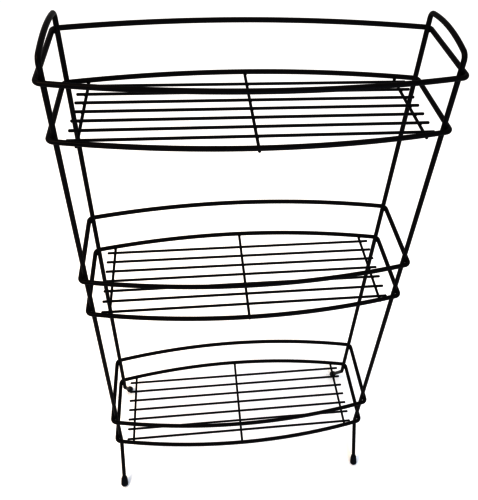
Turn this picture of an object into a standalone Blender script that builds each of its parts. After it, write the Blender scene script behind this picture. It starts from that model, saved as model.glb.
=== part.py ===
"""Three-tier wire basket rack.

Two bent side frames carry three shallow baskets. Each basket is two bowed rim
wires, three cross wires under the lower rim and seven floor wires on top of
them. Four soft caps cover the splayed leg ends. Metres, +Z up, X along the
baskets, Y from front to back, floor at Z = 0.
"""
import math

import bmesh
import bpy
from mathutils import Matrix, Vector

# Wires
FRAME_WIRE = 0.0054          # diameter of rims and side frames, coating included
FLOOR_WIRE = 0.0030          # diameter of cross wires and floor wires
GAP = 0.0003                 # clearance left at every welded or pushed-on contact

# Rims, measured on the wire's centreline
RIM_HALF_LENGTH = 0.2025     # centre to end rail
RIM_HALF_DEPTH = 0.0557      # centre to the sharp corner before it is rounded
RIM_BOW = 0.0205             # how far front and back rails bow outwards
RIM_BEND = 0.007             # corner bend radius

# Tiers: name, height of the lower rim, lower rim to upper rim
TIERS = (
    ("bottom", 0.0865, 0.0602),
    ("middle", 0.4139, 0.0605),
    ("top", 0.6757, 0.0628),
)

# Side frames
CONTACT = FRAME_WIRE + GAP
UPRIGHT_X = RIM_HALF_LENGTH - CONTACT
UPRIGHT_Y = 0.0494           # nests in the rims' corners
ARCH_SHOULDER = 0.7585       # height where arch and upright would meet unrounded
ARCH_RISE = 0.0058           # crown above the shoulder
ARCH_BEND = 0.008
LEG_BEND_HEIGHT = 0.0740     # legs splay below this height
LEG_BEND = 0.008
LEG_TIP_Y = 0.0905           # where a leg's axis leaves its cap
LEG_TIP_HEIGHT = 0.0009

# Basket floors
CROSS_WIRE_X = 0.1761        # outer cross wires
FLOOR_WIRE_COUNT = 7
FLOOR_WIRE_PITCH = 0.0173
FLOOR_WIRE_HALF_LENGTH = 0.1859
FLOOR_FORWARD = 0.0020       # the set of floor wires sits this far forward

# Foot caps, measured along the leg from the cap's mouth
CAP_LENGTH = 0.0170
CAP_BORE_DEPTH = 0.0120
CAP_MOUTH_RADIUS = 0.0037
CAP_SHOULDER_RADIUS = 0.0046
CAP_SHOULDER_DEPTH = 0.0028
CAP_RADIUS = 0.0055
CAP_END_ROUNDING = 0.0038

# Facets
FRAME_SIDES = 4              # bevel resolution: twelve-sided tube
FLOOR_SIDES = 2              # bevel resolution: eight-sided tube
RAIL_STEPS = 16
BEND_STEPS = 5
LEG_BEND_STEPS = 3
ARCH_STEPS = 8
CAP_SEGMENTS = 20
WELD_DISTANCE = 1e-6


def clear_scene():
    for item in list(bpy.data.objects):
        bpy.data.objects.remove(item, do_unlink=True)


def make_material(name, colour, roughness, metallic):
    material = bpy.data.materials.new(name)
    material.use_nodes = True
    shader = material.node_tree.nodes["Principled BSDF"]
    shader.inputs["Base Color"].default_value = (*colour, 1.0)
    shader.inputs["Roughness"].default_value = roughness
    shader.inputs["Metallic"].default_value = metallic
    return material


def add_object(name, data, material):
    data.materials.append(material)
    part = bpy.data.objects.new(name, data)
    bpy.context.scene.collection.objects.link(part)
    return part


def add_tube(name, points, diameter, sides, material, closed=False):
    """A round wire along a list of points: a closed loop, or open with flat ends."""
    curve = bpy.data.curves.new(name, "CURVE")
    curve.dimensions = "3D"
    curve.bevel_depth = diameter / 2
    curve.bevel_resolution = sides
    curve.resolution_u = 1
    curve.render_resolution_u = 0
    curve.use_fill_caps = not closed
    spline = curve.splines.new("POLY")
    spline.points.add(len(points) - 1)
    for slot, point in zip(spline.points, points):
        slot.co = (*point, 1.0)
    spline.use_cyclic_u = closed
    return add_object(name, curve, material)


def bow_radius(half_chord, rise):
    return (half_chord ** 2 + rise ** 2) / (2 * rise)


def bow_height(half_chord, rise, along):
    """How far a bowed wire stands above its chord at a distance from the middle."""
    radius = bow_radius(half_chord, rise)
    return math.sqrt(radius ** 2 - along ** 2) - (radius - rise)


def rail_y(x):
    """Centreline of a rim's back rail; the front rail is its mirror image."""
    return RIM_HALF_DEPTH + bow_height(RIM_HALF_LENGTH, RIM_BOW, x)


def arc_points(centre, radius, start, end, steps):
    """Points on an arc between two angles, both ends included."""
    angles = [start + (end - start) * i / steps for i in range(steps + 1)]
    return [(centre[0] + radius * math.cos(a), centre[1] + radius * math.sin(a)) for a in angles]


def round_corner(before, corner, after, radius, steps):
    """Points of the bend that rounds the corner of a path in a plane."""
    into = (Vector(corner) - Vector(before)).normalized()
    out = (Vector(after) - Vector(corner)).normalized()
    turn = into.angle(out)
    reach = radius * math.tan(turn / 2)
    side = (out - into).normalized()
    centre = Vector(corner) + side * (radius / math.cos(turn / 2))
    first = Vector(corner) - into * reach - centre
    points = []
    for i in range(steps + 1):
        share = i / steps
        arm = first.normalized().slerp((Vector(corner) + out * reach - centre).normalized(), share)
        points.append(centre + arm * radius)
    return points


def quarter_rim():
    """Right back quarter of a rim, from the end rail's bend to the rail's middle."""
    radius = bow_radius(RIM_HALF_LENGTH, RIM_BOW)
    rail_centre_y = RIM_HALF_DEPTH + RIM_BOW - radius
    bend_x = RIM_HALF_LENGTH - RIM_BEND
    bend_y = rail_centre_y + math.sqrt((radius - RIM_BEND) ** 2 - bend_x ** 2)
    rail_angle = math.atan2(bend_y - rail_centre_y, bend_x)
    bend = arc_points((bend_x, bend_y), RIM_BEND, 0.0, rail_angle, BEND_STEPS)
    half_rail = arc_points((0.0, rail_centre_y), radius, rail_angle, math.pi / 2, RAIL_STEPS // 2)
    return bend + half_rail[1:]


def rim_path(height):
    quarter = quarter_rim()
    back_left = [(-x, y) for x, y in reversed(quarter[:-1])]
    front_left = [(-x, -y) for x, y in quarter]
    front_right = [(x, -y) for x, y in reversed(quarter[:-1])]
    outline = quarter + back_left + front_left + front_right
    return [(x, y, height) for x, y in outline]


def side_frame_path(x):
    """One wire: front leg, front upright, handle arch, back upright, back leg."""
    leg_axis = leg_direction()
    tip = (LEG_TIP_Y, LEG_TIP_HEIGHT)
    end = (tip[0] - leg_axis[0] * leg_recess(), tip[1] - leg_axis[1] * leg_recess())
    knee = (UPRIGHT_Y, LEG_BEND_HEIGHT)
    radius = bow_radius(UPRIGHT_Y, ARCH_RISE)
    crown_centre = (0.0, ARCH_SHOULDER + ARCH_RISE - radius)
    bend_y = UPRIGHT_Y - ARCH_BEND
    bend_z = crown_centre[1] + math.sqrt((radius - ARCH_BEND) ** 2 - bend_y ** 2)
    crown_angle = math.atan2(bend_z - crown_centre[1], bend_y)
    half = [end]
    half += [tuple(p) for p in round_corner(end, knee, (UPRIGHT_Y, bend_z), LEG_BEND, LEG_BEND_STEPS)]
    half += arc_points((bend_y, bend_z), ARCH_BEND, 0.0, crown_angle, BEND_STEPS)
    half += arc_points(crown_centre, radius, crown_angle, math.pi / 2, ARCH_STEPS // 2)[1:]
    front = [(x, -y, z) for y, z in half]
    back = [(x, y, z) for y, z in reversed(half[:-1])]
    return front + back


def leg_direction():
    """Unit vector (outwards, up) from the knee to the leg's tip."""
    reach = Vector((LEG_TIP_Y - UPRIGHT_Y, LEG_TIP_HEIGHT - LEG_BEND_HEIGHT))
    return tuple(reach.normalized())


def leg_recess():
    """The wire ends this far inside the closed end of its cap."""
    return CAP_LENGTH - CAP_BORE_DEPTH + GAP


def build_side_frames(material):
    for name, x in (("left_side_frame", -UPRIGHT_X), ("right_side_frame", UPRIGHT_X)):
        add_tube(name, side_frame_path(x), FRAME_WIRE, FRAME_SIDES, material)


def build_rims(tier, lower_height, rise, material):
    for level, height in (("lower", lower_height), ("upper", lower_height + rise)):
        name = f"{tier}_{level}_rim"
        add_tube(name, rim_path(height), FRAME_WIRE, FRAME_SIDES, material, closed=True)


def build_basket_floor(tier, lower_height, material):
    """Cross wires end on the rim's centreline; the floor wires lie on top of them."""
    cross_height = lower_height - (FRAME_WIRE + FLOOR_WIRE) / 2 - GAP
    for side, x in (("left", -CROSS_WIRE_X), ("centre", 0.0), ("right", CROSS_WIRE_X)):
        reach = rail_y(x)
        ends = [(x, -reach, cross_height), (x, reach, cross_height)]
        add_tube(f"{tier}_cross_wire_{side}", ends, FLOOR_WIRE, FLOOR_SIDES, material)
    floor_height = cross_height + FLOOR_WIRE + GAP
    for i in range(FLOOR_WIRE_COUNT):
        y = (i - (FLOOR_WIRE_COUNT - 1) / 2) * FLOOR_WIRE_PITCH - FLOOR_FORWARD
        ends = [(-FLOOR_WIRE_HALF_LENGTH, y, floor_height), (FLOOR_WIRE_HALF_LENGTH, y, floor_height)]
        add_tube(f"{tier}_floor_wire_{i + 1}", ends, FLOOR_WIRE, FLOOR_SIDES, material)


def cap_profile():
    """Half section of a foot cap as (radius, distance below the mouth)."""
    bore = FRAME_WIRE / 2 + GAP
    shoulder = [(CAP_MOUTH_RADIUS + (CAP_SHOULDER_RADIUS - CAP_MOUTH_RADIUS) * math.sin(a),
                 CAP_SHOULDER_DEPTH * (1 - math.cos(a)))
                for a in (0.0, math.pi / 6, math.pi / 3, math.pi / 2)]
    end_centre = (CAP_RADIUS - CAP_END_ROUNDING, CAP_LENGTH - CAP_END_ROUNDING)
    end = arc_points(end_centre, CAP_END_ROUNDING, 0.0, math.pi / 2, BEND_STEPS)
    return [(0.0, CAP_BORE_DEPTH), (bore, CAP_BORE_DEPTH), (bore, 0.0)] + shoulder + end + [(0.0, CAP_LENGTH)]


def build_foot_cap(name, side_x, outward, material):
    """A soft cap turned about the leg's axis, with a flat worn where it stands."""
    mesh = bpy.data.meshes.new(name)
    bm = bmesh.new()
    ring = [bm.verts.new((radius, 0.0, -depth)) for radius, depth in cap_profile()]
    for first, second in zip(ring, ring[1:]):
        bm.edges.new((first, second))
    bmesh.ops.spin(bm, geom=bm.verts[:] + bm.edges[:], cent=(0, 0, 0), axis=(0, 0, 1),
                   angle=2 * math.pi, steps=CAP_SEGMENTS, use_merge=True, use_duplicate=False)
    bmesh.ops.remove_doubles(bm, verts=bm.verts[:], dist=WELD_DISTANCE)
    across, up = leg_direction()
    lean = Matrix.Rotation(math.atan2(across, -up) * outward, 4, "X")
    tip = Vector((side_x, outward * LEG_TIP_Y, LEG_TIP_HEIGHT))
    mouth = tip + Vector((0.0, -outward * across, -up)) * CAP_LENGTH
    bmesh.ops.transform(bm, matrix=Matrix.Translation(mouth) @ lean, verts=bm.verts[:])
    cut = bmesh.ops.bisect_plane(bm, geom=bm.verts[:] + bm.edges[:] + bm.faces[:], dist=WELD_DISTANCE,
                                 plane_co=(0, 0, 0), plane_no=(0, 0, -1), clear_outer=True)
    rim = [item for item in cut["geom_cut"] if isinstance(item, bmesh.types.BMEdge)]
    bmesh.ops.edgenet_fill(bm, edges=rim)
    bmesh.ops.recalc_face_normals(bm, faces=bm.faces[:])
    bm.to_mesh(mesh)
    bm.free()
    mesh.shade_smooth()
    mesh.set_sharp_from_angle(angle=math.radians(40))
    return add_object(name, mesh, material)


def build_foot_caps(material):
    for row, outward in (("front", -1), ("rear", 1)):
        for side, x in (("left", -UPRIGHT_X), ("right", UPRIGHT_X)):
            build_foot_cap(f"{row}_{side}_foot_cap", x, outward, material)


def build():
    clear_scene()
    coated_frame = make_material("coated_frame_wire", (0.012, 0.011, 0.011), 0.38, 0.0)
    coated_rim = make_material("coated_rim_wire", (0.012, 0.011, 0.012), 0.40, 0.0)
    coated_floor = make_material("coated_floor_wire", (0.013, 0.013, 0.015), 0.42, 0.0)
    soft_cap = make_material("soft_foot_cap", (0.018, 0.020, 0.024), 0.55, 0.0)
    build_side_frames(coated_frame)
    for tier, lower_height, rise in TIERS:
        build_rims(tier, lower_height, rise, coated_rim)
        build_basket_floor(tier, lower_height, coated_floor)
    build_foot_caps(soft_cap)


build()
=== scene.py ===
"""Looks of the three-tier wire basket rack.

Every wire of the frame is redrawn as a smooth coated wire with softened cut
ends, the welds get the small fillets that coating leaves round them, and the
foot caps become moulded caps with a lip, a parting line and a worn flat.
Metres, +Z up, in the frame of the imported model.
"""

import itertools
import math

import bpy
import numpy as np
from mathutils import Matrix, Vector


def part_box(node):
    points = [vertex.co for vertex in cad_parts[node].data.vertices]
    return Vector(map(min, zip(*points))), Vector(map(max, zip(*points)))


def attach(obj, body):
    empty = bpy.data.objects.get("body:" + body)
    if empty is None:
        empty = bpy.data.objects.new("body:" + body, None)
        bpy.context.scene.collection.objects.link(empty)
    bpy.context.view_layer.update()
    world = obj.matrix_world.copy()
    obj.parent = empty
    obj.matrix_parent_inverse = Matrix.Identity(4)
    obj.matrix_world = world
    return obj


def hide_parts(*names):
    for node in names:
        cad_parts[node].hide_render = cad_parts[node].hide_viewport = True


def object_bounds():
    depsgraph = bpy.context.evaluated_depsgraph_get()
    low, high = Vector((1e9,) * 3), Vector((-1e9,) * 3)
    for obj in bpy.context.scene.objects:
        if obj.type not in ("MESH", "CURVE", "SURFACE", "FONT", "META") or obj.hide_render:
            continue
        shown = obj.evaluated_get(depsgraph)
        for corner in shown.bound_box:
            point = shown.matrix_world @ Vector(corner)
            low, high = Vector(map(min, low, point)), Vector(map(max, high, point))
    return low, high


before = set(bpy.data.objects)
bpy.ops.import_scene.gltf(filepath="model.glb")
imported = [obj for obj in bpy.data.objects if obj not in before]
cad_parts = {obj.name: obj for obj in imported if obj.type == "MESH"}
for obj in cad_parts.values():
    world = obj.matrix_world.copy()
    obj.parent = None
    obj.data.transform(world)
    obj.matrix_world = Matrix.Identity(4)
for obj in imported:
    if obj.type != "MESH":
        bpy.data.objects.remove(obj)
cad_low, cad_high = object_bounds()

X, Y, Z = 0, 1, 2
ACROSS = np.array((1.0, 0.0, 0.0))
UP = np.array((0.0, 0.0, 1.0))

# What the rack is made of
TIERS = ("bottom", "middle", "top")
LEVELS = ("lower", "upper")
CROSS_PLACES = ("left", "centre", "right")
FLOOR_WIRES = 7
SIDES = (("left", -1), ("right", 1))
ROWS = (("front", -1), ("rear", 1))

# Bends of the wires, on their centrelines
RIM_BEND = 0.007
ARCH_BEND = 0.008
ARCH_RISE = 0.0058
KNEE_BEND = 0.008
KNEE_BELOW_RIM = 0.0125      # where the legs turn outwards, under the lowest rim

# How finely the wires are drawn
RING_SPACING = 0.004         # along a wire
BEND_SPACING = RING_SPACING / 4
MIN_ARC_RINGS = 6
KNEE_RINGS = 12
FRAME_SIDES = 28
FLOOR_SIDES = 20

# Cut ends
CUT_END_ROUNDING = 0.75      # share of the radius over which a cut end is rounded
CUT_END_RINGS = 7
CUT_END_CLEARANCE = 1.1      # other rings keep this many times the rounding away from the end

# Coating
SKIN = 0.00001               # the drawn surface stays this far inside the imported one
COAT_UNEVENNESS = 0.012      # share of the radius by which the coating thins here and there
COAT_WAVES = ((71.0, 1.0), (173.0, 2.3), (397.0, 4.1))   # radians per metre, share of the phase
PHASE_STEP = 1.7             # from one wire to the next, so that no two are coated alike

# Weld fillets: half sizes along X, Y and Z, as shares of the thinner wire's radius
FLOOR_FILLET = (1.25, 1.25, 0.62)      # floor wire on cross wire
CROSS_FILLET = (1.25, 1.2, 0.7)        # cross wire under the rim
UPRIGHT_FILLET = (0.55, 0.85, 0.95)    # rim on upright
CROSS_FILLET_INSET = 0.9     # in from the cross wire's end, as a share of its radius
FILLET_RINGS = 10
FILLET_SEGMENTS = 18

# Foot caps
CAP_LENGTH = 0.0170
CAP_PAST_WIRE = 0.0053       # the cap's closed end reaches this far beyond the wire's end
CAP_CLEARANCE = 0.00005      # between the leg and the cap's mouth
# The cap's lip, from inside outwards: (outside the bore, below the mouth)
CAP_LIP = ((0.0, 0.0040), (0.0, 0.0004), (0.0002, 0.0001), (0.0005, 0.0),
           (0.0008, 0.0002), (0.0009, 0.0006), (0.0007, 0.0010))
CAP_SHOULDER = 0.84          # shares of the cap's radius
CAP_END_ROUNDING = 0.68
CAP_SHOULDER_DEPTH = 0.0036
CAP_SHOULDER_SHARES = np.linspace(0.15, 1.0, 8)
CAP_BODY_SHARES = np.linspace(0.1, 1.0, 8)
CAP_BODY_SWELL = 0.8         # power by which the body widens, below one for an early swell
CAP_END_RINGS = 11
CAP_SEGMENTS = 56
CAP_SEAM = 0.00012           # height of the mould's parting line
CAP_SEAM_WIDTH = 0.06        # as a share of the cap's radius
CAP_SEAM_START = 0.0004      # the line starts this far outside the bore

# Finishes: linear colours, and the roughness where the gloss is highest and lowest
FRAME_COAT = {"dark": (0.0094, 0.0077, 0.0085), "light": (0.0187, 0.0156, 0.0170),
              "glossy": 0.30, "matt": 0.42}
RIM_COAT = {"dark": (0.0094, 0.0077, 0.0088), "light": (0.0187, 0.0156, 0.0178),
            "glossy": 0.30, "matt": 0.44}
FLOOR_COAT = {"dark": (0.0088, 0.0088, 0.0112), "light": (0.0178, 0.0178, 0.0221),
              "glossy": 0.32, "matt": 0.46}
CAP_DARK = (0.008, 0.009, 0.013)
CAP_LIGHT = (0.020, 0.024, 0.034)
STAGE_DARK = (0.960, 0.960, 0.960)
STAGE_LIGHT = (0.972, 0.972, 0.972)

# Studio
STAGE_HALF_SIZE = 12.0
STAGE_HEIGHT = -0.0004       # just clear of the worn flats
SURROUND_STRENGTH = 1.05
DISPLAY_GAMMA = 0.45         # hard contrast: black coating against a white surround
WARM_TOP_BOX = {"place": (-0.85, -0.35, 1.55), "size": (0.6, 0.4), "power": 12.0,
                "colour": (1.0, 0.76, 0.52)}
COOL_FRONT_BOX = {"place": (0.35, -1.25, 0.45), "size": (0.6, 0.5), "power": 8.0,
                  "colour": (0.42, 0.66, 1.0)}

# Camera
SENSOR_WIDTH = 36.0          # mm, and so is the lens
LENS = 42.198
LENS_SHIFT = (-0.04566, -0.07900)
NEAREST_SEEN = 0.02
CAMERA_PLACE = (-0.06964, -0.53795, 1.00843)
CAMERA_DEGREES = (48.4189, -2.9120, -6.7217)


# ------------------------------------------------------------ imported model

def node_points(node, low, high):
    """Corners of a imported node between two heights."""
    points = np.array([v.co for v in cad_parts[node].data.vertices])
    return points[(points[:, Z] >= low) & (points[:, Z] <= high)]


def middle(node):
    low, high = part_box(node)
    return (low + high) / 2


def wire_radius(node, axis):
    """Radius to draw a wire with, from its size along an axis that crosses it."""
    low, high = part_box(node)
    return (high[axis] - low[axis]) / 2 - SKIN


def cross_wires(tier):
    return [f"{tier}_cross_wire_{place}" for place in CROSS_PLACES]


def floor_wires(tier):
    return [f"{tier}_floor_wire_{i}" for i in range(1, FLOOR_WIRES + 1)]


# -------------------------------------------------------------- wire paths

def arc(centre, radius, start, end, spacing=RING_SPACING):
    """Points in a plane on an arc between two angles, both ends included."""
    steps = max(MIN_ARC_RINGS, math.ceil(abs(end - start) * radius / spacing))
    return [(centre[0] + radius * math.cos(a), centre[1] + radius * math.sin(a))
            for a in np.linspace(start, end, steps + 1)]


def straight(start, end):
    """Evenly spaced points from start to end, both included."""
    start, end = np.array(start), np.array(end)
    steps = max(2, math.ceil(np.linalg.norm(end - start) / RING_SPACING))
    return [tuple(start + (end - start) * i / steps) for i in range(steps + 1)]


def rounded(before, corner, after, radius):
    """Points of the bend that rounds a corner in a plane."""
    into = Vector(corner - before).normalized()
    out = Vector(after - corner).normalized()
    turn = into.angle(out)
    reach = radius * math.tan(turn / 2)
    centre = Vector(corner) + (out - into).normalized() * (radius / math.cos(turn / 2))
    first = (Vector(corner) - into * reach - centre).normalized()
    last = (Vector(corner) + out * reach - centre).normalized()
    return [tuple(centre + first.slerp(last, i / KNEE_RINGS) * radius)
            for i in range(KNEE_RINGS + 1)]


def straight_wire_path(node, axis):
    """Centreline of a wire that runs along an axis."""
    low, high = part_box(node)
    start, end = (low + high) / 2, (low + high) / 2
    start[axis], end[axis] = low[axis], high[axis]
    return np.array(straight(start, end))


def rail_arc(tier):
    """Radius and centre of a back rail's bow, from the ends of the cross wires under it."""
    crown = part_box(f"{tier}_cross_wire_centre")[1].y
    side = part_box(f"{tier}_cross_wire_right")[1].y
    x = middle(f"{tier}_cross_wire_right").x
    drop = crown - side
    radius = (x ** 2 + drop ** 2) / (2 * drop)
    return radius, crown - radius


def rim_path(tier, level):
    """Closed centreline of a rim, drawn as four mirrored quarters."""
    node = f"{tier}_{level}_rim"
    low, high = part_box(node)
    thickness = (high.z - low.z) / 2
    half_length = (high.x - low.x) / 2 - thickness
    radius, centre_y = rail_arc(tier)
    bend_x = half_length - RIM_BEND
    bend_y = centre_y + math.sqrt((radius - RIM_BEND) ** 2 - bend_x ** 2)
    turn = math.atan2(bend_y - centre_y, bend_x)
    end_rail = straight((half_length, 0.0), (half_length, bend_y))
    bend = arc((bend_x, bend_y), RIM_BEND, 0.0, turn, BEND_SPACING)
    rail = arc((0.0, centre_y), radius, turn, math.pi / 2)
    quarter = end_rail + bend[1:] + rail[1:]
    back_left = [(-x, y) for x, y in reversed(quarter[:-1])]
    front_left = [(-x, -y) for x, y in quarter[1:]]
    front_right = [(x, -y) for x, y in reversed(quarter[:-1])]
    outline = quarter + back_left + front_left + front_right[:-1]
    height = middle(node).z
    return np.array([(x, y, height) for x, y in outline])


def upright_y(side):
    """How far the uprights stand from the middle, front to back."""
    node = f"{side}_side_frame"
    upper = node_points(node, middle("top_lower_rim").z, cad_high.z)
    low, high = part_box(node)
    return upper[:, Y].max() - (high.x - low.x) / 2


def knee(side):
    """Corner between the rear upright and the rear leg, as (y, z)."""
    return np.array((upright_y(side), middle("bottom_lower_rim").z - KNEE_BELOW_RIM))


def leg_end(side):
    """Where the wire of the rear leg ends, as (y, z)."""
    leg = node_points(f"{side}_side_frame", 0.0, middle("bottom_lower_rim").z / 2)
    rear = leg[leg[:, Y] > 0]
    return (rear.min(0) + rear.max(0))[1:] / 2


def side_frame_path(side):
    """Centreline of a side frame: front leg, upright, handle arch, upright and rear leg."""
    low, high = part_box(f"{side}_side_frame")
    x, thickness = (low.x + high.x) / 2, (high.x - low.x) / 2
    upright = upright_y(side)
    crown = high.z - thickness
    radius = (upright ** 2 + ARCH_RISE ** 2) / (2 * ARCH_RISE)
    centre_z = crown - radius
    bend_y = upright - ARCH_BEND
    bend_z = centre_z + math.sqrt((radius - ARCH_BEND) ** 2 - bend_y ** 2)
    turn = math.atan2(bend_z - centre_z, bend_y)
    end = leg_end(side)
    knee_bend = rounded(end, knee(side), np.array((upright, bend_z)), KNEE_BEND)
    half = straight(end, knee_bend[0])[:-1] + knee_bend
    half += straight(knee_bend[-1], (upright, bend_z))[1:-1]
    half += arc((bend_y, bend_z), ARCH_BEND, 0.0, turn, BEND_SPACING)
    half += arc((0.0, centre_z), radius, turn, math.pi / 2)[1:]
    front = [(x, -y, z) for y, z in half]
    back = [(x, y, z) for y, z in reversed(half[:-1])]
    return np.array(front + back)


# ------------------------------------------------------------------ meshes

def new_piece(name, vertices, faces, material, nodes):
    """A smooth mesh that rides on the rack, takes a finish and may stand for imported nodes."""
    mesh = bpy.data.meshes.new(name)
    mesh.from_pydata([tuple(v) for v in vertices], [], faces)
    mesh.update()
    mesh.shade_smooth()
    mesh.materials.append(material)
    piece = bpy.data.objects.new(name, mesh)
    bpy.context.scene.collection.objects.link(piece)
    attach(piece, "root")
    if nodes:
        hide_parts(*nodes)


def coat_thickness(travelled, phase):
    """Share of the full radius along a wire: the coating thins by a hair in slow waves."""
    waves = sum(np.sin(travelled * rate + share * phase) for rate, share in COAT_WAVES)
    return 1.0 - COAT_UNEVENNESS * (0.5 + 0.5 * waves / len(COAT_WAVES))


def rounded_ends(path, radius):
    """Adds rings to both ends of an open path, and gives each ring's share of the radius."""
    reach = radius * CUT_END_ROUNDING
    clear = reach * CUT_END_CLEARANCE
    angles = np.linspace(0.0, math.pi / 2, CUT_END_RINGS + 1)[:-1]
    first = (path[1] - path[0]) / np.linalg.norm(path[1] - path[0])
    last = (path[-1] - path[-2]) / np.linalg.norm(path[-1] - path[-2])
    opening = [path[0] + first * reach * (1 - math.sin(a)) for a in angles[::-1]]
    closing = [path[-1] - last * reach * (1 - math.sin(a)) for a in angles]
    inner = path[1:-1]
    keep = ((np.linalg.norm(inner - path[0], axis=1) > clear)
            & (np.linalg.norm(inner - path[-1], axis=1) > clear))
    flat_share = 1.0 - CUT_END_ROUNDING
    taper = [flat_share + CUT_END_ROUNDING * math.cos(a) for a in angles]
    shares = taper[::-1] + [1.0] * int(keep.sum()) + taper
    return np.array(opening + list(inner[keep]) + closing), np.array(shares)


def sweep(path, radius, plane_normal, sides, closed, phase):
    """A round wire along a path that lies in a plane: its vertices and faces."""
    if closed:
        shares = np.ones(len(path))
        ahead, behind = np.roll(path, -1, axis=0), np.roll(path, 1, axis=0)
    else:
        path, shares = rounded_ends(path, radius)
        ahead = np.vstack((path[1:], path[-1:]))
        behind = np.vstack((path[:1], path[:-1]))
    tangent = ahead - behind
    tangent /= np.linalg.norm(tangent, axis=1)[:, None]
    side = np.cross(tangent, plane_normal)
    steps = np.linalg.norm(np.diff(path, axis=0), axis=1)
    travelled = np.concatenate(((0.0,), np.cumsum(steps)))
    if closed:
        # there and back, so that the coating meets itself without a step
        length = travelled[-1] + np.linalg.norm(path[0] - path[-1])
        travelled = (1 - np.cos(2 * math.pi * travelled / length)) * length / 4
    radii = radius * shares * coat_thickness(travelled, phase)
    angles = np.arange(sides) * 2 * math.pi / sides
    ring = (np.cos(angles)[None, :, None] * side[:, None, :]
            + np.sin(angles)[None, :, None] * plane_normal)
    vertices = (path[:, None, :] + ring * radii[:, None, None]).reshape(-1, 3)
    count = len(path)
    faces = []
    for i in range(count if closed else count - 1):
        here, there = i * sides, ((i + 1) % count) * sides
        for j in range(sides):
            k = (j + 1) % sides
            faces.append((here + j, here + k, there + k, there + j))
    if not closed:
        faces.append(tuple(reversed(range(sides))))
        faces.append(tuple(range((count - 1) * sides, count * sides)))
    return vertices, faces


def add_wire(node, path, radius, plane_normal, sides, finish, phase, closed=False):
    material, slot_name = finish
    vertices, faces = sweep(path, radius, plane_normal, sides, closed, phase)
    new_piece(f"{node}_coated", vertices, faces, material, [node])


def fillet(centre, half_sizes):
    """A small soft lump of coated weld, flatter than a ball: vertices and faces."""
    vertices = [(0.0, 0.0, 1.0)]
    for i in range(1, FILLET_RINGS):
        polar = math.pi * i / FILLET_RINGS
        for j in range(FILLET_SEGMENTS):
            turn = 2 * math.pi * j / FILLET_SEGMENTS
            vertices.append((math.sin(polar) * math.cos(turn), math.sin(polar) * math.sin(turn),
                             math.cos(polar)))
    vertices.append((0.0, 0.0, -1.0))
    last = len(vertices) - 1
    faces = []
    for j in range(FILLET_SEGMENTS):
        k = (j + 1) % FILLET_SEGMENTS
        faces.append((0, 1 + j, 1 + k))
        faces.append((last, last - FILLET_SEGMENTS + k, last - FILLET_SEGMENTS + j))
        for i in range(FILLET_RINGS - 2):
            here, there = 1 + i * FILLET_SEGMENTS, 1 + (i + 1) * FILLET_SEGMENTS
            faces.append((here + j, there + j, there + k, here + k))
    return np.array(vertices) * half_sizes + np.array(centre), faces


def join(parts):
    """Several (vertices, faces) as one."""
    vertices, faces, offset = [], [], 0
    for part_vertices, part_faces in parts:
        vertices.append(part_vertices)
        faces += [tuple(i + offset for i in face) for face in part_faces]
        offset += len(part_vertices)
    return np.vstack(vertices), faces


def weld_fillets(tier):
    """Fillets of one tier: floor wires on cross wires, those under the rim, rims on uprights."""
    parts = []
    thin = wire_radius(floor_wires(tier)[0], Z)
    lower_rim = f"{tier}_lower_rim"
    under_rim = middle(lower_rim).z - wire_radius(lower_rim, Z)
    for cross in cross_wires(tier):
        cross_middle = middle(cross)
        for floor in floor_wires(tier):
            floor_middle = middle(floor)
            height = (cross_middle.z + floor_middle.z) / 2
            parts.append(fillet((cross_middle.x, floor_middle.y, height),
                                thin * np.array(FLOOR_FILLET)))
        contact = (cross_middle.z + thin + under_rim) / 2
        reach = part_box(cross)[1].y - thin * CROSS_FILLET_INSET
        for _, way in ROWS:
            parts.append(fillet((cross_middle.x, way * reach, contact),
                                thin * np.array(CROSS_FILLET)))
    for level in LEVELS:
        rim = f"{tier}_{level}_rim"
        thick = wire_radius(rim, Z)
        inner_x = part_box(rim)[1].x - 2 * thick
        for side, hand in SIDES:
            contact_x = (middle(f"{side}_side_frame").x + hand * thick + hand * inner_x) / 2
            for _, way in ROWS:
                parts.append(fillet((contact_x, way * upright_y(side), middle(rim).z),
                                    thick * np.array(UPRIGHT_FILLET)))
    return join(parts)


def cap_profile(bore, cap_radius):
    """Half section of a foot cap as (radius, distance below the mouth), from the bore outwards."""
    points = [(bore + outside, depth) for outside, depth in CAP_LIP]
    neck, neck_depth = points[-1]
    shoulder = cap_radius * CAP_SHOULDER
    for share in CAP_SHOULDER_SHARES:
        points.append((neck + (shoulder - neck) * math.sin(share * math.pi / 2),
                       neck_depth + (CAP_SHOULDER_DEPTH - neck_depth) * share))
    end_rounding = cap_radius * CAP_END_ROUNDING
    body_end = CAP_LENGTH - end_rounding
    for share in CAP_BODY_SHARES:
        points.append((shoulder + (cap_radius - shoulder) * share ** CAP_BODY_SWELL,
                       CAP_SHOULDER_DEPTH + (body_end - CAP_SHOULDER_DEPTH) * share))
    flat = cap_radius - end_rounding
    for angle in np.linspace(0.0, math.pi / 2, CAP_END_RINGS + 1)[1:]:
        points.append((flat + end_rounding * math.cos(angle),
                       body_end + end_rounding * math.sin(angle)))
    return points


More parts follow.
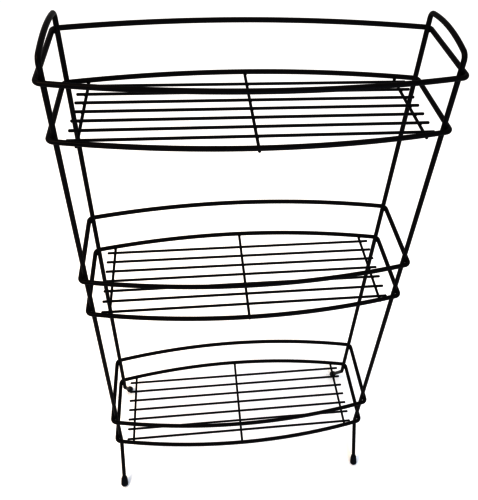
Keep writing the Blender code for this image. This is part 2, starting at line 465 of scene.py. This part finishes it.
def cap_mesh(row, side, way):
    """A moulded cap turned about the leg, with a parting line, resting on the floor."""
    low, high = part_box(f"{row}_{side}_foot_cap")
    cap_radius = (high.x - low.x) / 2 - SKIN
    bore = wire_radius(f"{side}_side_frame", X) + CAP_CLEARANCE
    end_y, end_z = leg_end(side)
    leg = leg_end(side) - knee(side)
    down_y, down_z = leg / np.linalg.norm(leg)
    axis = np.array((0.0, way * down_y, down_z))
    end = np.array((middle(f"{side}_side_frame").x, way * end_y, end_z))
    mouth = end + axis * (CAP_PAST_WIRE - CAP_LENGTH)
    other = np.cross(axis, ACROSS)
    profile = cap_profile(bore, cap_radius)
    vertices, faces = [], []
    for radius, depth in profile:
        outer = 1.0 if radius > bore + CAP_SEAM_START else 0.0
        for j in range(CAP_SEGMENTS):
            turn = 2 * math.pi * j / CAP_SEGMENTS
            ridge = math.exp(-(math.cos(turn) / CAP_SEAM_WIDTH) ** 2)
            r = radius - outer * CAP_SEAM * (1 - ridge) * min(1.0, radius / cap_radius)
            point = (mouth + axis * depth + ACROSS * (r * math.cos(turn))
                     + other * (r * math.sin(turn)))
            vertices.append(np.clip(point, low, high))
    rings = len(profile)
    for i in range(rings - 1):
        for j in range(CAP_SEGMENTS):
            k = (j + 1) % CAP_SEGMENTS
            here, there = i * CAP_SEGMENTS, (i + 1) * CAP_SEGMENTS
            faces.append((here + j, here + k, there + k, there + j))
    faces.append(tuple(reversed(range(CAP_SEGMENTS))))
    faces.append(tuple(range((rings - 1) * CAP_SEGMENTS, rings * CAP_SEGMENTS)))
    if way > 0:
        faces = [tuple(reversed(face)) for face in faces]
    return np.array(vertices), faces


# --------------------------------------------------------------- materials

class Nodes:
    """A material's node tree, with short calls to add and join nodes."""

    def __init__(self, name):
        self.material = bpy.data.materials.new(name)
        self.material.use_nodes = True
        self.tree = self.material.node_tree
        self.shader = self.tree.nodes["Principled BSDF"]
        self.place = self.tree.nodes.new("ShaderNodeTexCoord").outputs["Object"]

    def noise(self, scale, detail, roughness=0.5):
        node = self.tree.nodes.new("ShaderNodeTexNoise")
        node.inputs["Scale"].default_value = scale
        node.inputs["Detail"].default_value = detail
        node.inputs["Roughness"].default_value = roughness
        self.tree.links.new(self.place, node.inputs["Vector"])
        return node.outputs["Fac"]

    def spread(self, value, between, onto=(0.0, 1.0)):
        """Maps one range of values onto another."""
        node = self.tree.nodes.new("ShaderNodeMapRange")
        node.inputs["From Min"].default_value, node.inputs["From Max"].default_value = between
        node.inputs["To Min"].default_value, node.inputs["To Max"].default_value = onto
        self.tree.links.new(value, node.inputs["Value"])
        return node.outputs["Result"]

    def combine(self, operation, first, second):
        node = self.tree.nodes.new("ShaderNodeMath")
        node.operation = operation
        for socket, value in zip(node.inputs, (first, second)):
            if isinstance(value, float):
                socket.default_value = value
            else:
                self.tree.links.new(value, socket)
        return node.outputs["Value"]

    def blend_colours(self, factor, first, second):
        node = self.tree.nodes.new("ShaderNodeMix")
        node.data_type = "RGBA"
        node.inputs["A"].default_value = (*first, 1.0)
        node.inputs["B"].default_value = (*second, 1.0)
        self.tree.links.new(factor, node.inputs["Factor"])
        return node.outputs["Result"]

    def bump(self, height, distance, strength):
        node = self.tree.nodes.new("ShaderNodeBump")
        node.inputs["Distance"].default_value = distance
        node.inputs["Strength"].default_value = strength
        self.tree.links.new(height, node.inputs["Height"])
        self.tree.links.new(node.outputs["Normal"], self.shader.inputs["Normal"])

    def connect(self, value, socket):
        self.tree.links.new(value, self.shader.inputs[socket])

    def set_specular(self, level):
        self.shader.inputs["Specular IOR Level"].default_value = level


MOST_OF_NOISE = (0.3, 0.7)   # the range that holds nearly all of a noise's values


def powder_coat(name, dark, light, glossy, matt):
    """Baked black coating on wire: orange peel, drifting gloss and a few dull rubbed spots."""
    nodes = Nodes(name)
    drift = nodes.noise(scale=38.0, detail=3.0)
    peel = nodes.noise(scale=950.0, detail=2.0, roughness=0.55)
    grain = nodes.noise(scale=3600.0, detail=2.0)
    wear = nodes.noise(scale=150.0, detail=5.0, roughness=0.65)
    rubbed = nodes.combine("MULTIPLY", nodes.spread(wear, between=(0.60, 0.74)), 0.12)
    gloss = nodes.spread(drift, between=MOST_OF_NOISE, onto=(glossy, matt))
    tone = nodes.spread(drift, between=MOST_OF_NOISE)
    nodes.connect(nodes.blend_colours(tone, dark, light), "Base Color")
    nodes.connect(nodes.combine("ADD", gloss, rubbed), "Roughness")
    relief = nodes.combine("ADD", peel, nodes.combine("MULTIPLY", grain, 0.25))
    nodes.bump(relief, distance=0.00008, strength=0.5)
    nodes.set_specular(0.2)
    return nodes.material


def soft_plastic(name):
    """Moulded dark cap: fine matt texture, dusty patches near the floor."""
    nodes = Nodes(name)
    drift = nodes.noise(scale=260.0, detail=4.0, roughness=0.6)
    texture = nodes.noise(scale=4200.0, detail=3.0, roughness=0.6)
    tone = nodes.spread(drift, between=(0.35, 0.70))
    nodes.connect(nodes.blend_colours(tone, CAP_DARK, CAP_LIGHT), "Base Color")
    nodes.connect(nodes.spread(drift, between=MOST_OF_NOISE, onto=(0.46, 0.62)), "Roughness")
    nodes.bump(texture, distance=0.00005, strength=0.4)
    nodes.set_specular(0.3)
    return nodes.material


def stage_material():
    """Plain pale floor."""
    nodes = Nodes("pale_floor")
    tone = nodes.spread(nodes.noise(scale=1.5, detail=2.0), between=MOST_OF_NOISE)
    nodes.connect(nodes.blend_colours(tone, STAGE_DARK, STAGE_LIGHT), "Base Color")
    nodes.shader.inputs["Roughness"].default_value = 0.9
    nodes.set_specular(0.1)
    return nodes.material


# ------------------------------------------------------------------- build

def build_rack():
    frame_finish = powder_coat("coated_frame_wire", **FRAME_COAT), "frame_wire"
    rim_finish = powder_coat("coated_rim_wire", **RIM_COAT), "rim_wire"
    floor_finish = powder_coat("coated_floor_wire", **FLOOR_COAT), "floor_wire"
    cap_material = soft_plastic("moulded_foot_cap")
    phases = itertools.accumulate(itertools.repeat(PHASE_STEP))
    for side, _ in SIDES:
        node = f"{side}_side_frame"
        add_wire(node, side_frame_path(side), wire_radius(node, X), ACROSS, FRAME_SIDES,
                 frame_finish, next(phases))
    for tier in TIERS:
        for level in LEVELS:
            node = f"{tier}_{level}_rim"
            add_wire(node, rim_path(tier, level), wire_radius(node, Z), UP, FRAME_SIDES,
                     rim_finish, next(phases), closed=True)
        for nodes, axis in ((cross_wires(tier), Y), (floor_wires(tier), X)):
            for node in nodes:
                add_wire(node, straight_wire_path(node, axis), wire_radius(node, Z), UP,
                         FLOOR_SIDES, floor_finish, next(phases))
        material, slot_name = rim_finish
        vertices, faces = weld_fillets(tier)
        new_piece(f"{tier}_weld_fillets", vertices, faces, material, [])
    for row, way in ROWS:
        for side, _ in SIDES:
            vertices, faces = cap_mesh(row, side, way)
            node = f"{row}_{side}_foot_cap"
            new_piece(f"{node}_moulded", vertices, faces, cap_material, [node])


def build_stage():
    """A wide pale floor and an even pale surround, shown with hard contrast."""
    half = STAGE_HALF_SIZE
    mesh = bpy.data.meshes.new("studio_floor")
    corners = [(x, y, STAGE_HEIGHT) for x, y in ((-half, -half), (half, -half), (half, half),
                                                 (-half, half))]
    mesh.from_pydata(corners, [], [(0, 1, 2, 3)])
    mesh.materials.append(stage_material())
    floor = bpy.data.objects.new("studio_floor", mesh)
    bpy.context.scene.collection.objects.link(floor)
    world = bpy.data.worlds.new("studio")
    world.use_nodes = True
    background = world.node_tree.nodes["Background"]
    background.inputs["Color"].default_value = (1.0, 1.0, 1.0, 1.0)
    background.inputs["Strength"].default_value = SURROUND_STRENGTH
    bpy.context.scene.world = world
    bpy.context.scene.view_settings.view_transform = "Standard"
    bpy.context.scene.view_settings.gamma = DISPLAY_GAMMA


def add_soft_box(name, target, place, size, power, colour):
    light = bpy.data.lights.new(name, "AREA")
    light.shape = "RECTANGLE"
    light.size, light.size_y = size
    light.energy = power
    light.color = colour
    box = bpy.data.objects.new(name, light)
    box.location = place
    box.rotation_euler = (Vector(target) - Vector(place)).to_track_quat("-Z", "Y").to_euler()
    bpy.context.scene.collection.objects.link(box)


def add_camera():
    """Standing in front of the rack, above its top, looking down into the baskets."""
    data = bpy.data.cameras.new("camera")
    data.sensor_fit = "AUTO"
    data.sensor_width = SENSOR_WIDTH
    data.lens = LENS
    data.shift_x, data.shift_y = LENS_SHIFT
    data.clip_start = NEAREST_SEEN
    camera = bpy.data.objects.new("camera", data)
    camera.location = CAMERA_PLACE
    camera.rotation_euler = [math.radians(a) for a in CAMERA_DEGREES]
    bpy.context.scene.collection.objects.link(camera)
    bpy.context.scene.camera = camera


build_rack()
build_stage()
rack_middle = (cad_low + cad_high) / 2
add_soft_box("warm_top_box", rack_middle, **WARM_TOP_BOX)
add_soft_box("cool_front_box", rack_middle, **COOL_FRONT_BOX)
add_camera()
